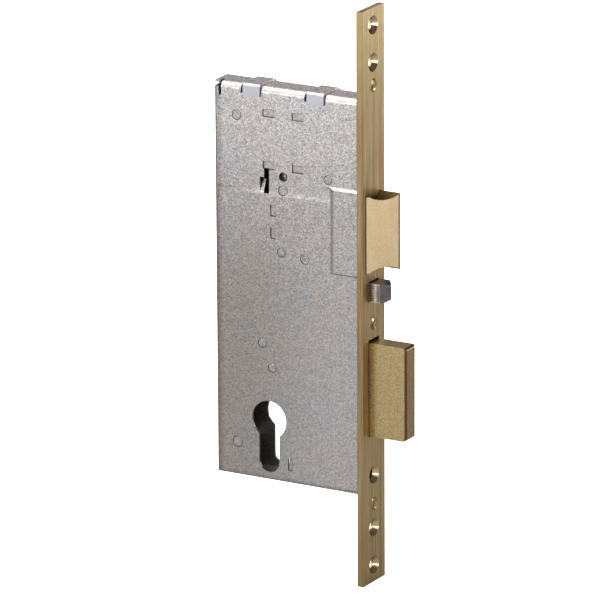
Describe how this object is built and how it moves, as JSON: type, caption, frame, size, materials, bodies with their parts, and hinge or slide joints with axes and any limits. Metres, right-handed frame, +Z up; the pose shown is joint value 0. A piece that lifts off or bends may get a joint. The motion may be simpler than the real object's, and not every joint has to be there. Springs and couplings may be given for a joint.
{
  "type": "mortise lock",
  "caption": "Narrow mortise lock for a profile cylinder: sheet-steel case on a long brass faceplate, with a bevelled sprung latch, a small trigger bolt and a thrown deadbolt.",
  "frame": {"origin": "on the faceplate's front face, in the middle of the case's thickness, at the height of the cylinder axis", "axes": "+X out of the door edge, the way the bolts come out; +Z up along the faceplate; -Y towards the side of the embossed case body"},
  "size_m": [0.097, 0.02, 0.267],
  "materials": {
    "faceplate_brass": "satin, brushed along its length",
    "screw_brass": "satin",
    "latch_brass": "fine matt casting",
    "bolt_brass": "fine matt casting",
    "sintered_steel": "dark, fine grained",
    "galvanised_sheet": "galvanised, small spangle",
    "zinc_steel": "zinc plated",
    "spring_steel": "drawn wire"
  },
  "bodies": {
    "case": {"faceplate": "faceplate_brass", "faceplate_screw_upper": "screw_brass", "faceplate_screw_middle": "screw_brass", "faceplate_screw_lower": "screw_brass", "upper_forend_bracket": "zinc_steel", "lower_forend_bracket": "zinc_steel", "case_body": "galvanised_sheet", "case_cover": "galvanised_sheet", "upper_rear_post": "zinc_steel", "upper_middle_post": "zinc_steel", "upper_front_post": "zinc_steel", "latch_lower_post": "zinc_steel", "blocker_post": "zinc_steel", "lever_post": "zinc_steel", "tail_guide_post": "zinc_steel", "lower_rear_post": "zinc_steel", "tumbler_post": "zinc_steel", "tumbler_spring_pin": "zinc_steel", "recessed_pin": "zinc_steel", "spacer_plate_lower": "zinc_steel", "spacer_plate_upper": "zinc_steel", "latch_guide": "zinc_steel", "cylinder_screw_guide": "zinc_steel", "latch_spring": "spring_steel", "trigger_spring": "spring_steel", "trigger_guide": "zinc_steel", "tumbler_spring": "spring_steel"},
    "latch": {"latch_head": "latch_brass", "latch_tail": "zinc_steel"},
    "retractor": {"retractor_lever": "zinc_steel"},
    "trigger": {"trigger_bolt": "sintered_steel"},
    "blocker": {"blocker_lever": "zinc_steel"},
    "deadbolt": {"deadbolt_head": "bolt_brass", "deadbolt_tail": "zinc_steel", "deadbolt_rivet_1": "zinc_steel", "deadbolt_rivet_2": "zinc_steel"},
    "tumbler": {"bolt_tumbler": "zinc_steel"}
  },
  "joints": [
    {"name": "latch_slide", "type": "slide", "parent": "case", "child": "latch", "axis": [1, 0, 0], "range_m": [-0.0102, 0], "stiffness_N_per_m": 300, "springref_m": 0.02, "deforming": ["latch_spring"]},
    {"name": "retractor_turn", "type": "hinge", "parent": "case", "child": "retractor", "pos_m": [-0.0533, 0, 0.0357], "axis": [0, 1, 0], "range_deg": [-10.3, 0]},
    {"name": "trigger_slide", "type": "slide", "parent": "case", "child": "trigger", "axis": [1, 0, 0], "range_m": [-0.0088, 0], "stiffness_N_per_m": 150, "springref_m": 0.015, "deforming": ["trigger_spring"]},
    {"name": "blocker_lift", "type": "hinge", "parent": "case", "child": "blocker", "pos_m": [-0.031, 0, 0.0781], "axis": [0, -1, 0], "range_deg": [0, 10.3]},
    {"name": "deadbolt_slide", "type": "slide", "parent": "case", "child": "deadbolt", "axis": [1, 0, 0], "range_m": [-0.019, 0]},
    {"name": "tumbler_lift", "type": "hinge", "parent": "case", "child": "tumbler", "pos_m": [-0.07, 0, 0.05], "axis": [0, -1, 0], "range_deg": [0, 6], "deforming": ["tumbler_spring"]}
  ],
  "couplings": [
    {"joint": "retractor_turn", "follows": "latch_slide", "rad_per_m": 17.39},
    {"joint": "blocker_lift", "follows": "trigger_slide", "rad_per_m": -20},
    {"joint": "tumbler_lift", "follows": "deadbolt_slide", "rad_per_m": -5.4}
  ]
}
